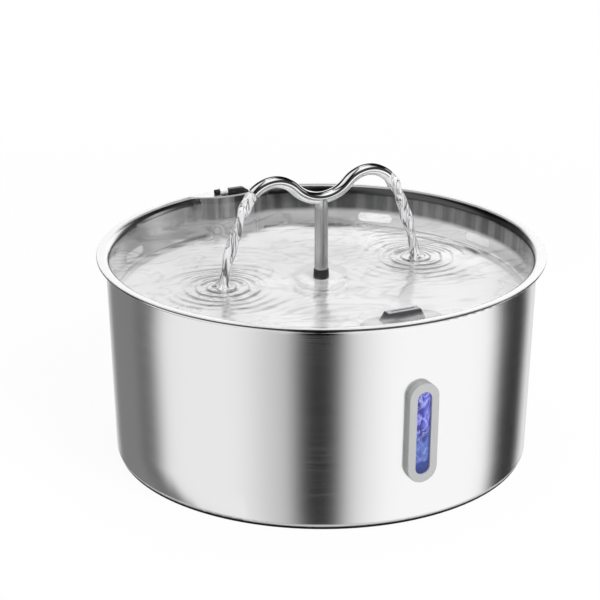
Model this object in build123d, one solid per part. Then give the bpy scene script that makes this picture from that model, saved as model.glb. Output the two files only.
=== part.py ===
from build123d import *
from math import atan2, cos, hypot, radians, sin, sqrt
import os

# Pet water fountain: a steel basin with a steel drinking tray hung in it, a wave
# spout on a centre post, a water-level window and a small submersible pump.
# Millimetres. Origin: centre of the underside. +Z up, window at -Y, power inlet at +Y.

# ---------------------------------------------------------------- fits and gaps
body_gap = 0.35            # between pieces that move apart
slip_gap = 0.10            # radial, plastic sleeve in its seat
turn_gap = 0.06            # radial, post in its sleeve
shaft_gap = 0.05           # radial, rotor on its shaft
seat_gap = 0.05            # between pieces that are clipped together
overrun = 1.0              # how far a cutting solid runs past the face it cuts

# ---------------------------------------------------------------- basin
sheet = 0.8                # stainless sheet of basin and tray
basin_foot_z = 0.4         # underside of the basin above the table
basin_top_r = 105.6        # outside, under the rim
wall_draft = 2.9           # the wall's foot is this much further in
basin_corner_r = 2.2       # bend between floor and wall
rim_z = 102.1              # top of the tray's rim, the height of the vessel
rim_width = 4.4            # how far the rim stands out from the wall
rim_bead_r = 0.7           # rolled edge of the basin's rim
rim_flat = 0.55            # level stretch between the rim's bend and its rolled edge
floor_step_r = 78.0        # pressed step in the basin's floor
floor_step = 1.2           # its height
floor_bend_r = 1.2

# ---------------------------------------------------------------- base ring
ring_width = 15.6
ring_height = 0.5          # height of its outer edge
ring_inset = 1.0           # the ring's edge behind the wall's foot
ring_edge = 0.15

# ---------------------------------------------------------------- tray
tray_floor_z = 78.0        # drinking surface
tray_plateau = 3.0         # rise of the middle
tray_plateau_r = 45.0
tray_slope = 8.0           # radial length of the rise
tray_bend_r = 6.0
tray_corner_r = 4.4
tray_draft = 1.2           # the tray's wall is this much further in at the floor
tray_hem = 0.2             # turned-down edge below the tray's rim
hem_edge = 0.3
recess_depth = 5.9         # cable recess pressed into the wall at the back
recess_left = -11.5        # ends of its flat stretch, along X
recess_right = 0.0
recess_left_angle = 21.0   # slopes of its flanks, degrees
recess_right_angle = 13.5
recess_bend_r = 26.0
notch_left_angle = 7.5     # opening in the rim for the inlet, degrees from the back
notch_right_angle = 3.6
slot_angles = (42.3, 78.5)  # overflow slots, from the back, both sides
slot_width = 19.0
slot_height = 5.0
slot_z = 85.7

# ---------------------------------------------------------------- centre bush
bush_disc_r = 13.3
bush_disc = 3.0
bush_edge = 0.6
bush_barrel_r = 8.0
bush_depth = 6.5           # barrel below the tray
bush_bead = 0.8
bush_bead_height = 1.6

# ---------------------------------------------------------------- spout
arm_r = 3.0                # outside of the bent tube
post_r = 3.3
tube_wall = 0.7
valley_z = 128.2           # centreline over the post
hump_x = 25.4              # centreline at the top of each hump
hump_rise = 11.2           # over the valley
hump_bend_r = 15.0
tip_reach = 10.6           # open end beyond the hump's top
post_foot_z = 70.0
collar_r = 4.0
collar_top_r = 3.65
collar_height = 4.4
collar_edge = 0.15

# ---------------------------------------------------------------- spout sleeve
sleeve_foot_z = 62.0       # lower end, inside the riser
sleeve_r = 6.0             # barrel in the bush
sleeve_flange_r = 11.6
sleeve_flange = 2.6
sleeve_edge = 0.5
sleeve_cone = 1.0          # height of the taper between tail and barrel
tail_r = 5.0

# ---------------------------------------------------------------- filter
filter_x = 10.0            # centre of the filter port
filter_y = -66.5
port_length = 35.0
port_width = 13.0
port_collar = 3.0          # drawn collar up from the tray's floor
cover_length = 42.0
cover_width = 18.0
cover_top_z = 86.0
cover_wall = 1.4
cover_edge = 1.0
cover_ports = 5            # water inlets along each side of the cover's skirt
cover_port_pitch = 6.0
cover_port_width = 3.2
cover_port_up = 3.6        # above the skirt's lower edge
cover_port_height = 2.4
grip_top_z = 91.2
grip_base_length = 21.0
grip_base_depth = 7.5
grip_top_length = 17.0
grip_top_depth = 4.2
grip_edge = 0.7
grip_slit_length = 12.2
grip_slit_width = 1.0
grip_slit_depth = 1.2
basket_depth = 46.0        # below the tray's floor
basket_wall = 1.2
basket_ribs = 7
basket_foot_band = 3.0     # closed bands of the basket's sides
basket_belt = 2.0
basket_top_band = 4.0
foam_height = 8.0
carbon_headroom = 2.0

# ---------------------------------------------------------------- window
window_z = 46.3
window_length = 49.6
window_width = 15.2
window_proud = 3.4
window_edge = 0.5
sight_length = 41.4
sight_width = 7.5
sight_recess = 0.9         # lens behind the frame's face
lens_neck_length = 43.4
lens_neck_width = 9.4
lens_shoulder = 0.2        # step between neck and boss, behind the wall's outside
lens_hole_gap = 0.3        # round the neck, in the basin's wall
lens_flange_length = 45.8
lens_flange_width = 10.8
lens_flange = 1.2
gasket = 1.0
gasket_length = 46.6
gasket_width = 11.4
clamp = 2.0
screw_r = 0.6
screw_gap = 0.1
screw_head_r = 1.0
screw_head = 1.0
screw_slit = 0.4
screw_x = 6.55
screw_pitch = 13.0
screw_bite = 1.4           # depth of the screw in the frame

# ---------------------------------------------------------------- pump
cup_height = 5.8           # floor to the pump's underside
cup_r = 5.5
cup_lip = 1.2              # flat edge of the skirt
cup_hollow = 1.0
cup_skirt = 2.4
cup_neck_r = 2.4
cup_stem_r = 1.6
cup_stem = 1.2             # stem in the pump's foot
cup_pitch_x = 30.0
cup_pitch_y = 22.0
pump_width = 44.0
pump_height = 31.0
pump_depth = 43.0
pump_corner_r = 5.0
pump_edge = 1.0
pump_front_y = -6.0
pump_wall = 1.8
pump_inner_r = 2.0
rotor_axis_up = 15.0       # rotor axis above the pump's underside
chamber_r = 11.5
chamber_depth = 11.0
well_r = 6.6
well_depth = 15.0
well_wall = 1.0
back_plate = 2.0
spigot_r = 5.0
spigot_bore_r = 3.4
spigot_length = 11.0
riser_r = 7.0
riser_top_z = 71.5
riser_edge = 0.6

# ---------------------------------------------------------------- rotor
shaft_r = 1.0
shaft_play = 1.15          # between the shaft's front end and the bush's closed end
pump_bush_r = 2.6
bush_end = 1.0             # closed end of each shaft bush
rear_bush = 3.0
front_bush = 4.0
magnet_r = 6.0
magnet_length = 12.0
magnet_proud = 0.6         # how far it stands out of its well
impeller_r = 9.8
impeller_hub_r = 3.4
impeller_depth = 7.0
impeller_web = 1.2
impeller_blades = 6
blade = 1.1
blade_root = 0.8           # how far a blade reaches into the hub
blade_bow = 1.3

# ---------------------------------------------------------------- stator and board
core_pole_width = 5.0
core_stack = 12.0
core_front = 2.2           # behind the chamber's back wall
core_back = 3.0            # before the back plate
core_shoe = 1.2            # how far the pole shoes reach round the well
coil_wall = 3.4
coil_inset = 1.4
coil_back = 1.0
coil_edge = 1.2
board_width = 17.0
board = 1.2
board_space = 5.95         # between the housing's wall and the board's inner face
chip_levels = (-6.0, 4.0)
chip = 5.0
chip_length = 6.0
chip_height = 1.2

# ---------------------------------------------------------------- pump cover
cover_depth = 8.0
cover_corner_r = 3.0
cover_shell = 1.6
cover_bevel = 1.0
cover_head = 8.0           # solid head above the sponge
grille_slots = 7
grille_pitch = 4.2
grille_slot = 2.0
grille_down = 9.0          # slots below and above the rotor's axis
grille_up = 8.0
eye_r = 6.5                # where the water enters the impeller
spider = 1.6               # bars that carry the front bush
boss_wall = 1.2
clip = 1.4
clip_width = 8.0
clip_root = 3.0
clip_length = 10.0
sponge = 4.0
sponge_gap = 0.4

# ---------------------------------------------------------------- lamp
lamp_r = 3.0
lamp_x = 15.5
lamp_drop = 6.0            # below the pump's top
lamp_length = 7.0
lamp_gap = 0.8

# ---------------------------------------------------------------- lead
lead_r = 1.6
lead_exit_up = 7.0         # above the pump's underside
lead_tail = 1.2            # end of the lead inside the pump
lead_out = 14.0            # straight out of the pump
lead_dip = 14.0            # run down to the floor
lead_clear = 1.0           # above the floor
lead_behind = 1.1          # free space between the lead and the tray's recess
lead_climb = ((9.5, 0.0), (3.0, 8.0), (1.2, 24.0))   # in from its place at the top, up from the floor
lead_straight = 20.0       # upright below the inlet's leg
lead_grip = 6.0            # end of the lead inside the leg
lead_bends = (16.0, 14.0, 8.0, 8.0, 60.0, 60.0)
grommet_wall = 1.2
grommet_flange = 1.0
grommet_sleeve = 9.0
grommet_tip = 0.5

# ---------------------------------------------------------------- inlet
inlet_left = -6.0
inlet_right = 5.5
inlet_setback = 0.75       # behind the recess, more than the gap
inlet_depth = 9.0          # over the basin's lip
inlet_level = 3.2          # level part of its top
inlet_rise = 2.9           # above the tray's rim
inlet_back_rise = 0.2
inlet_slope = 3.0          # sloped right end of its top
inlet_slope_drop = 1.9
inlet_edge = 0.6
inlet_corner_r = 1.2
inlet_leg = 12.1           # its leg inside the wall, below the rim
collar_length = 4.3        # pale collar on the socket's barrel
barrel_nose = 2.6          # barrel beyond the collar
barrel_r = 1.45
barrel_back = 2.8          # the barrel's axis behind the inlet's front
barrel_up = 1.4            # and above the tray's rim
socket_collar = 0.3
socket_bore_r = 1.1
socket_depth = 6.0
socket_pin_r = 0.35
socket_pin_back = 0.8      # the pin's tip behind the mouth

# ---------------------------------------------------------------- derived places
basin_base_r = basin_top_r - wall_draft
rim_r = basin_top_r + rim_width
rim_bend_r = rim_width - sheet / 2 - body_gap - rim_bead_r - rim_flat
tray_rim_bend_r = rim_bend_r + body_gap + sheet    # the same centre as the basin's bend
lean = wall_draft / (rim_z - basin_foot_z)
level_sheet = sheet * hypot(1, lean)          # the leaning wall's thickness, measured level
basin_floor_z = basin_foot_z + sheet
basin_lip_z = rim_z - sheet - body_gap        # top of the basin's rim
tray_top_r = basin_top_r - lean * (rim_z - basin_lip_z) - body_gap - 2 * sheet
tray_base_r = tray_top_r - tray_draft
recess_y = tray_top_r - recess_depth          # the recess's face towards the water
pump_z = basin_floor_z + floor_step + cup_height
pump_top_z = pump_z + pump_height
rotor_z = pump_z + rotor_axis_up
pump_back_y = pump_front_y + pump_depth
pump_middle_y = pump_front_y + pump_depth / 2
chamber_back = pump_front_y + chamber_depth
well_back = chamber_back + well_depth
cover_back = pump_front_y - body_gap
cover_front = cover_back - cover_depth
lamp_z = pump_top_z - lamp_drop
plateau_z = tray_floor_z + tray_plateau
bush_top_z = plateau_z + bush_disc
bush_bore_r = sleeve_r + slip_gap
sleeve_flange_z = bush_top_z + body_gap
sleeve_top_z = sleeve_flange_z + sleeve_flange
collar_z = sleeve_top_z + body_gap
cover_low_z = tray_floor_z + body_gap
basket_foot_z = tray_floor_z - basket_depth
lead_exit_z = pump_z + lead_exit_up
lead_y = recess_y + sheet + lead_behind + lead_r
inlet_front_y = recess_y + sheet + body_gap + inlet_setback
inlet_leg_z = rim_z - inlet_leg
barrel_y = inlet_front_y + barrel_back
barrel_z = rim_z + barrel_up
socket_mouth = inlet_left - collar_length - barrel_nose


def wall_r(z):
    """Outside radius of the basin's wall at height z."""
    return basin_base_r + lean * (z - basin_foot_z)


def turned(points, radii):
    """Solid of revolution about Z from a closed outline of (radius, height) points."""
    outline = FilletPolyline(*points, radius=radii, close=True)
    return revolve(Plane.XZ * make_face(outline), Axis.Z)


def bent_sheet(points, radii, thickness):
    """Dish turned from sheet: the mid-line runs from beyond the axis to the rim."""
    line = FilletPolyline(*points, radius=radii)
    section = make_face(line.offset_2d(thickness / 2, side=Side.BOTH))
    reach = 4 * rim_r
    right_half = Pos(reach / 2, 0) * Rectangle(reach, reach)
    return revolve(Plane.XZ * (section & right_half), Axis.Z)


def disc(r, z_low, z_high):
    """Upright cylinder on the Z axis."""
    return Pos(0, 0, z_low) * Cylinder(r, z_high - z_low, align=(Align.CENTER, Align.CENTER, Align.MIN))


def rod_y(r, y_low, y_high, x=0.0, z=0.0):
    """Cylinder along Y."""
    return Pos(x, (y_low + y_high) / 2, z) * Rot(90, 0, 0) * Cylinder(r, y_high - y_low)


def block(x_low, x_high, y_low, y_high, z_low, z_high):
    """Box by its faces."""
    centre = Pos((x_low + x_high) / 2, (y_low + y_high) / 2, (z_low + z_high) / 2)
    return centre * Box(x_high - x_low, y_high - y_low, z_high - z_low)


def pill(length, width, low, high, plane):
    """Obround prism standing on a plane, its long side along the plane's Y."""
    return extrude(plane.offset(low) * SlotOverall(length, width, rotation=90), high - low)


# ================================================================ basin
def make_basin():
    """One drawn sheet: floor with a pressed step, leaning wall, out-turned rolled rim."""
    mid_floor = basin_foot_z + sheet / 2
    mid_lip = basin_lip_z - sheet / 2
    bead_centre_r = rim_r - sheet - body_gap - rim_bead_r
    path = [
        (-overrun, mid_floor + floor_step),
        (floor_step_r - floor_step, mid_floor + floor_step),
        (floor_step_r, mid_floor),
        (wall_r(mid_floor) - level_sheet / 2, mid_floor),
        (wall_r(mid_lip) - level_sheet / 2, mid_lip),
        (bead_centre_r, mid_lip),
    ]
    dish = bent_sheet(path, [floor_bend_r, floor_bend_r, basin_corner_r, rim_bend_r], sheet)
    bead_centre = Pos(bead_centre_r, basin_lip_z - rim_bead_r)
    dish = dish + revolve(Plane.XZ * bead_centre * Circle(rim_bead_r), Axis.Z)
    hole_length = lens_neck_length + 2 * lens_hole_gap
    hole_width = lens_neck_width + 2 * lens_hole_gap
    hole = pill(hole_length, hole_width, -sheet - 2 * overrun, overrun, window_plane())
    return dish - hole - screw_shanks(screw_gap)


def basin_envelope():
    """The basin's outside as a filled solid up to the rim."""
    return turned(
        [
            (0, basin_foot_z),
            (basin_base_r, basin_foot_z),
            (wall_r(basin_lip_z), basin_lip_z),
            (0, basin_lip_z),
        ],
        [0, basin_corner_r + sheet / 2, 0, 0],
    )


def basin_hollow():
    """The space inside the basin's wall as a filled solid."""
    top = basin_lip_z + overrun
    foot_r = wall_r(basin_floor_z) - level_sheet
    return turned(
        [(0, basin_floor_z), (foot_r, basin_floor_z), (wall_r(top) - level_sheet, top), (0, top)],
        [0, basin_corner_r - sheet / 2, 0, 0],
    )


def make_base_ring():
    """Silicone ring under the bottom corner, so that the steel never meets the table."""
    outer = basin_base_r - ring_inset
    inner = outer - ring_width
    ring = turned([(inner, 0), (outer, 0), (outer, ring_height), (inner, ring_height)], [ring_edge] * 4)
    return ring - basin_envelope()


# ================================================================ water-level window
def window_plane():
    """Plane on the wall's outside at the window: X to the right, Y up the wall, Z outward."""
    slope = hypot(1, lean)
    return Plane(
        origin=(0, -wall_r(window_z), window_z),
        x_dir=(1, 0, 0),
        z_dir=(0, -1 / slope, -lean / slope),
    )


def at_screws():
    """Places of the clamp's screws on the window plane."""
    return [Pos(x, y) for x in (-screw_x, screw_x) for y in (-screw_pitch, screw_pitch)]


def back_levels():
    """Depths behind the wall's outside: gasket's back, lens flange's back, clamp's back."""
    sagitta = window_width**2 / 8 / basin_base_r
    gasket_back = -(sheet + sagitta + gasket)
    return gasket_back, gasket_back - lens_flange, gasket_back - lens_flange - clamp


def screw_shanks(extra):
    """The screws' holes, wider than the shanks by extra."""
    deep = back_levels()[2] - overrun
    section = Circle(screw_r + extra)
    plane = window_plane().offset(deep)
    return Compound([extrude(plane * place * section, screw_bite - deep) for place in at_screws()])


def make_bezel():
    """Outer frame of the window, moulded to the wall's curve, its front edge eased."""
    plane = window_plane()
    body = pill(window_length, window_width, -2 * overrun, window_proud, plane)
    front = body.faces().sort_by(Axis(plane.origin, plane.z_dir))[-1]
    body = fillet(front.edges(), window_edge)
    body = body - basin_envelope()
    body = body - pill(sight_length, sight_width, -3 * overrun, window_proud + overrun, plane)
    return body - screw_shanks(0)


def make_lens():
    """Clear plug: a boss that fills the frame's slot, a neck through the wall, a flange inside."""
    plane = window_plane()
    flange_front, flange_back, _ = back_levels()
    boss_top = window_proud - sight_recess
    lens = pill(lens_flange_length, lens_flange_width, flange_back, flange_front, plane)
    lens += pill(lens_neck_length, lens_neck_width, flange_front, -lens_shoulder, plane)
    lens += pill(sight_length - 2 * seat_gap, sight_width - 2 * seat_gap, -lens_shoulder, boss_top, plane)
    return lens


def make_gasket():
    """Silicone seal between the lens's flange and the wall's inside."""
    plane = window_plane()
    flange_front = back_levels()[0]
    seal = pill(gasket_length, gasket_width, flange_front, 0, plane) & basin_hollow()
    hole_length = lens_neck_length + 2 * seat_gap
    hole_width = lens_neck_width + 2 * seat_gap
    seal = seal - pill(hole_length, hole_width, flange_front - overrun, overrun, plane)
    return seal - screw_shanks(screw_gap)


def make_clamp():
    """Inner frame that presses the lens's flange and the gasket to the wall."""
    plane = window_plane()
    flange_front, flange_back, clamp_back = back_levels()
    pocket_length = lens_flange_length + 2 * slip_gap
    pocket_width = lens_flange_width + 2 * slip_gap
    frame = pill(window_length, window_width, clamp_back, flange_front, plane)
    pocket = pill(pocket_length, pocket_width, flange_back, flange_front + overrun, plane)
    sight = pill(sight_length, sight_width, clamp_back - overrun, flange_back + overrun, plane)
    return frame - pocket - sight - screw_shanks(0)


def make_window_screws():
    """Four small screws from inside: pan head, shank, driver slot."""
    clamp_back = back_levels()[2]
    head_plane = window_plane().offset(clamp_back - screw_head)
    screws = []
    for place in at_screws():
        shank = extrude(window_plane().offset(clamp_back) * place * Circle(screw_r), screw_bite - clamp_back)
        head = extrude(head_plane * place * Circle(screw_head_r), screw_head)
        slit = extrude(head_plane * place * Rectangle(2 * screw_head_r, screw_slit), screw_slit)
        screws.append(shank + head - slit)
    return Compound(screws)


# ================================================================ tray
def make_tray():
    """Drawn dish with a raised middle, a flat rim, overflow slots and a cable recess."""
    half = sheet / 2
    path = [
        (-overrun, plateau_z - half),
        (tray_plateau_r, plateau_z - half),
        (tray_plateau_r + tray_slope, tray_floor_z - half),
        (tray_base_r + half, tray_floor_z - half),
        (tray_top_r + half, rim_z - half),
        (rim_r - half, rim_z - half),
    ]
    dish = bent_sheet(path, [tray_bend_r, tray_bend_r, tray_corner_r, tray_rim_bend_r], sheet)
    hem_z = rim_z - sheet - tray_hem
    hem = [(rim_r - sheet, hem_z), (rim_r, hem_z), (rim_r, rim_z - half), (rim_r - sheet, rim_z - half)]
    dish = dish + turned(hem, [hem_edge, hem_edge, 0, 0])
    dish = press_recess(dish - overflow_slots())
    port_low = tray_floor_z - sheet
    port_high = tray_floor_z + port_collar
    collar = pill(port_length + 2 * sheet, port_width + 2 * sheet, port_low, port_high, port_plane())
    hole = pill(port_length, port_width, port_low - overrun, rim_z, port_plane())
    dish = dish + collar - hole
    return dish - disc(bush_barrel_r + seat_gap, port_low - overrun, rim_z)


def behind_recess(setback, z_low, z_high):
    """Everything behind the recess's face, set back from it: flat stretch and sloped flanks."""
    reach = rim_r / 2
    left = radians(recess_left_angle)
    right = radians(recess_right_angle)
    outline = FilletPolyline(
        (recess_left - reach * cos(left), recess_y + reach * sin(left)),
        (recess_left, recess_y),
        (recess_right, recess_y),
        (recess_right + reach * cos(right), recess_y + reach * sin(right)),
        (recess_right + reach * cos(right), rim_r + reach),
        (recess_left - reach * cos(left), rim_r + reach),
        radius=[0, recess_bend_r, recess_bend_r, 0, 0, 0],
        close=True,
    )
    plan = make_face(outline)
    if setback > 0:
        plan = offset(plan, amount=-setback)
    return extrude(Plane.XY.offset(z_low) * plan, z_high - z_low)


def press_recess(dish):
    """Move the back stretch of the wall inward and open the rim behind it for the inlet."""
    low = tray_floor_z - sheet
    edge_r = rim_r - sheet
    half = sheet / 2
    below = low - overrun
    above = rim_z + overrun
    envelope = turned(
        [(0, low), (tray_base_r + half, low), (tray_top_r + half, rim_z), (0, rim_z)],
        [0, tray_corner_r + half, 0, 0],
    )
    taken = behind_recess(0, below, above) & disc(edge_r, below, above)
    skin = behind_recess(0, low, rim_z) - behind_recess(sheet, below, above)
    flange = behind_recess(0, rim_z - sheet, rim_z) & disc(edge_r, rim_z - sheet, rim_z)
    dish = dish - taken + (skin & envelope) + flange
    left = radians(notch_left_angle)
    right = radians(notch_right_angle)
    far = rim_r + rim_width
    wedge = make_face(Polyline(
        (0, 0),
        (far * sin(right), far * cos(right)),
        (-far * sin(left), far * cos(left)),
        close=True,
    ))
    opening = extrude(Plane.XY.offset(basin_lip_z - overrun) * wedge, rim_z)
    return dish - (opening & behind_recess(sheet, basin_lip_z - overrun, above))


def overflow_slots():
    """Obround holes through the tray's wall, the same on both sides."""
    outline = Plane.XZ.offset(-rim_r) * Pos(0, slot_z) * SlotOverall(slot_width, slot_height)
    depth = rim_r - tray_base_r + 2 * slot_height
    cuts = [Rot(0, 0, -side * angle) * extrude(outline, depth) for angle in slot_angles for side in (-1, 1)]
    return Compound(cuts)


def port_plane():
    """Level plane over the filter port, its Y along the port's long side."""
    return Plane(origin=(filter_x, filter_y, 0), x_dir=(0, 1, 0), z_dir=(0, 0, 1))


def make_bush():
    """Silicone bush in the tray's middle: a disc above, a barrel through, a bead below."""
    foot = plateau_z - sheet - bush_depth
    bead_top = plateau_z - sheet - seat_gap
    bush = disc(bush_disc_r, plateau_z, bush_top_z)
    bush = chamfer(bush.edges().group_by(Axis.Z)[-1], bush_edge)
    bush += disc(bush_barrel_r, foot, plateau_z)
    bush += disc(bush_barrel_r + bush_bead, bead_top - bush_bead_height, bead_top)
    return bush - disc(bush_bore_r, foot - overrun, bush_top_z + overrun)


# ================================================================ spout
def spout_line():
    """Half of the wave's centreline: valley arc over the post, then the hump, to the open end."""
    reach = (hump_x**2 + hump_rise**2) / (2 * hump_rise)        # sum of the two bend radii
    valley_bend_r = reach - hump_bend_r
    turn = atan2(hump_x, reach - hump_rise)                     # slope where the bends meet
    hump_z = valley_z + hump_rise
    hump_centre_z = hump_z - hump_bend_r
    valley_centre_z = valley_z + valley_bend_r
    meet = (valley_bend_r * sin(turn), valley_centre_z - valley_bend_r * cos(turn))
    valley_mid = (valley_bend_r * sin(turn / 2), valley_centre_z - valley_bend_r * cos(turn / 2))
    tip = (hump_x + tip_reach, hump_centre_z + sqrt(hump_bend_r**2 - tip_reach**2))
    valley = ThreePointArc((0, valley_z), valley_mid, meet)
    hump = ThreePointArc(meet, (hump_x, hump_z), tip)
    return Plane.XZ * Wire([valley, hump])


def wave_bar(radius):
    """Round bar along the whole wave."""
    section = Plane(origin=(0, 0, valley_z), x_dir=(0, 1, 0), z_dir=(1, 0, 0)) * Circle(radius)
    right = sweep(section, path=spout_line())
    return right + mirror(right, about=Plane.YZ)


def make_spout_arms():
    """Bent tube, open at both ends, with a branch hole over the post."""
    branch = disc(post_r - tube_wall, valley_z - 2 * arm_r, valley_z)
    return wave_bar(arm_r) - wave_bar(arm_r - tube_wall) - branch


def make_spout_post():
    """Straight tube, cut to fit under the bent one."""
    bore = disc(post_r - tube_wall, post_foot_z - overrun, valley_z + overrun)
    return disc(post_r, post_foot_z, valley_z) - bore - wave_bar(arm_r)


def make_spout_collar():
    """Thin tapered rubber collar that stops the post on its sleeve."""
    top = collar_z + collar_height
    outline = [(0, collar_z), (collar_r, collar_z), (collar_top_r, top), (0, top)]
    cone = turned(outline, [0, collar_edge, collar_edge, 0])
    return cone - disc(post_r, collar_z - overrun, top + overrun)


def make_spout_sleeve():
    """Plastic sleeve: flange on the bush, barrel in its bore, tapered tail into the riser."""
    shoulder = riser_top_z + sleeve_cone + sleeve_edge
    outline = [
        (0, sleeve_foot_z),
        (tail_r, sleeve_foot_z),
        (tail_r, shoulder - sleeve_cone),
        (sleeve_r, shoulder),
        (sleeve_r, sleeve_flange_z),
        (sleeve_flange_r, sleeve_flange_z),
        (sleeve_flange_r, sleeve_top_z),
        (0, sleeve_top_z),
    ]
    body = turned(outline, [0, sleeve_edge, 0, 0, 0, 0, sleeve_edge, 0])
    bore = disc(post_r + turn_gap, post_foot_z - body_gap, sleeve_top_z + overrun)
    waterway = disc(post_r - tube_wall, sleeve_foot_z - overrun, sleeve_top_z)
    return body - bore - waterway


# ================================================================ filter
def make_filter_cover():
    """Cap over the port's collar, its skirt just above the tray's floor."""
    plane = port_plane()
    cap = pill(cover_length, cover_width, cover_low_z, cover_top_z, plane)
    cap = fillet(cap.edges().group_by(Axis.Z)[-1], cover_edge)
    inner_length = cover_length - 2 * cover_wall
    inner_width = cover_width - 2 * cover_wall
    cap = cap - pill(inner_length, inner_width, cover_low_z - overrun, cover_top_z - cover_wall, plane)
    port_z = cover_low_z + cover_port_up
    for step in range(cover_ports):
        x = filter_x + (step - (cover_ports - 1) / 2) * cover_port_pitch
        cap -= block(
            x - cover_port_width / 2, x + cover_port_width / 2,
            filter_y - cover_width, filter_y + cover_width,
            port_z, port_z + cover_port_height,
        )
    return cap


def make_filter_grip():
    """Tapered finger grip with a slit across its top."""
    foot = Plane(origin=(filter_x, filter_y, cover_top_z))
    base = foot * Rectangle(grip_base_length, grip_base_depth)
    top = foot.offset(grip_top_z - cover_top_z) * Rectangle(grip_top_length, grip_top_depth)
    grip = loft([base.face(), top.face()])
    grip = fillet(grip.edges().group_by(Axis.Z)[-1], grip_edge)
    slit = block(
        filter_x - grip_slit_length / 2, filter_x + grip_slit_length / 2,
        filter_y - grip_slit_width / 2, filter_y + grip_slit_width / 2,
        grip_top_z - grip_slit_depth, grip_top_z + overrun,
    )
    return grip - slit


def make_filter_basket():
    """Open basket under the cap: end walls, floor and upright ribs round the medium."""
    plane = port_plane()
    length = port_length - 2 * body_gap
    width = port_width - 2 * body_gap
    top = cover_top_z - cover_wall
    foot = basket_foot_z
    wall = 2 * basket_wall
    basket = pill(length, width, foot, top, plane)
    basket -= pill(length - wall, width - wall, foot + basket_wall, top + overrun, plane)
    straight = length - width
    pitch = straight / (basket_ribs - 1)
    high = tray_floor_z - basket_top_band
    middle = (foot + high) / 2
    rows = [(foot + basket_foot_band, middle - basket_belt / 2), (middle + basket_belt / 2, high)]
    for step in range(basket_ribs - 1):
        x = filter_x - straight / 2 + (step + 0.5) * pitch
        half = (pitch - basket_wall) / 2
        for z_low, z_high in rows:
            basket -= block(x - half, x + half, filter_y - width, filter_y + width, z_low, z_high)
    return basket


def medium(z_low, z_high):
    """Filter medium that fills the basket between two heights."""
    inset = 2 * (body_gap + basket_wall + seat_gap)
    return pill(port_length - inset, port_width - inset, z_low, z_high, port_plane())


def make_filter_foam():
    """Foam pad in the bottom of the basket."""
    low = basket_foot_z + basket_wall
    return medium(low, low + foam_height)


def make_carbon_core():
    """Block of carbon granules over the foam."""
    return medium(basket_foot_z + basket_wall + foam_height, tray_floor_z - carbon_headroom)


# ================================================================ pump
def make_pump_housing():
    """Moulded housing: impeller chamber and rotor well in front, a dry space behind them."""
    outline = Pos(0, pump_middle_y) * RectangleRounded(pump_width, pump_depth, pump_corner_r)
    body = extrude(Plane.XY.offset(pump_z) * outline, pump_height)
    body = chamfer(body.edges().group_by(Axis.Z)[-1], pump_edge)
    body = body - dry_space(chamber_back + pump_wall, pump_back_y + overrun)
    body += rod_y(well_r + well_wall, chamber_back, well_back + well_wall, z=rotor_z)
    body -= rod_y(well_r, pump_front_y - overrun, well_back, z=rotor_z)
    body -= rod_y(chamber_r, pump_front_y - overrun, chamber_back, z=rotor_z)
    body += disc(spigot_r, pump_top_z - overrun, pump_top_z + spigot_length)
    body -= disc(spigot_bore_r, rotor_z, pump_top_z + spigot_length + overrun)
    for place in at_cups():
        body -= place * disc(cup_stem_r, pump_z - overrun, pump_z + cup_stem)
    return body - rod_y(lamp_r, pump_front_y - overrun, pump_front_y + lamp_length, x=lamp_x, z=lamp_z)


def dry_space(y_low, y_high):
    """Rounded block as wide and high as the housing's dry space."""
    half = pump_width / 2 - pump_wall
    space = block(-half, half, y_low, y_high, pump_z + pump_wall, pump_top_z - pump_wall)
    return fillet(space.edges().filter_by(Axis.Y), pump_inner_r)


def at_cups():
    """Places of the suction cups under the pump."""
    half_x = cup_pitch_x / 2
    half_y = cup_pitch_y / 2
    return [Pos(x * half_x, pump_middle_y + y * half_y, 0) for x in (-1, 1) for y in (-1, 1)]


def make_suction_cups():
    """Four rubber cups: stem in the pump's foot, neck, flared skirt on the basin's floor."""
    floor_z = basin_floor_z + floor_step
    outline = Polyline(
        (0, floor_z + cup_hollow),
        (cup_r - cup_lip, floor_z),
        (cup_r, floor_z),
        (cup_neck_r, floor_z + cup_skirt),
        (cup_neck_r, pump_z),
        (cup_stem_r, pump_z),
        (cup_stem_r, pump_z + cup_stem),
        (0, pump_z + cup_stem),
        close=True,
    )
    cup = revolve(Plane.XZ * make_face(outline), Axis.Z)
    return Compound([place * cup for place in at_cups()])


def make_pump_back():
    """Plate that closes the dry space, with a hole for the lead's grommet."""
    neck_r = lead_r + grommet_wall
    hole = rod_y(neck_r, pump_back_y - back_plate - overrun, pump_back_y + overrun, z=lead_exit_z)
    return dry_space(pump_back_y - back_plate, pump_back_y) - hole


def make_grommet():
    """Rubber strain relief: collar inside, neck through the plate, tapered sleeve outside."""
    neck_r = lead_r + grommet_wall
    inner = pump_back_y - back_plate
    collar = rod_y(neck_r + grommet_flange, inner - grommet_flange, inner, z=lead_exit_z)
    neck = rod_y(neck_r, inner, pump_back_y, z=lead_exit_z)
    taper = Cone(neck_r + grommet_flange, lead_r + grommet_tip, grommet_sleeve)
    sleeve = Pos(0, pump_back_y + grommet_sleeve / 2, lead_exit_z) * Rot(-90, 0, 0) * taper
    bore = rod_y(lead_r, inner - 2 * overrun, pump_back_y + grommet_sleeve + overrun, z=lead_exit_z)
    return collar + neck + sleeve - bore


def front_bush_y():
    """Front of the bush in the cover."""
    return cover_front + cover_shell + overrun


def make_shaft():
    """Ceramic shaft between the bush at the well's end and the one in the cover."""
    return rod_y(shaft_r, front_bush_y() + bush_end + shaft_play, well_back - bush_end, z=rotor_z)


def make_rear_bush():
    """Rubber bush at the end of the rotor well."""
    bush = rod_y(pump_bush_r, well_back - rear_bush, well_back, z=rotor_z)
    return bush - rod_y(shaft_r, well_back - rear_bush - overrun, well_back - bush_end, z=rotor_z)


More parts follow.
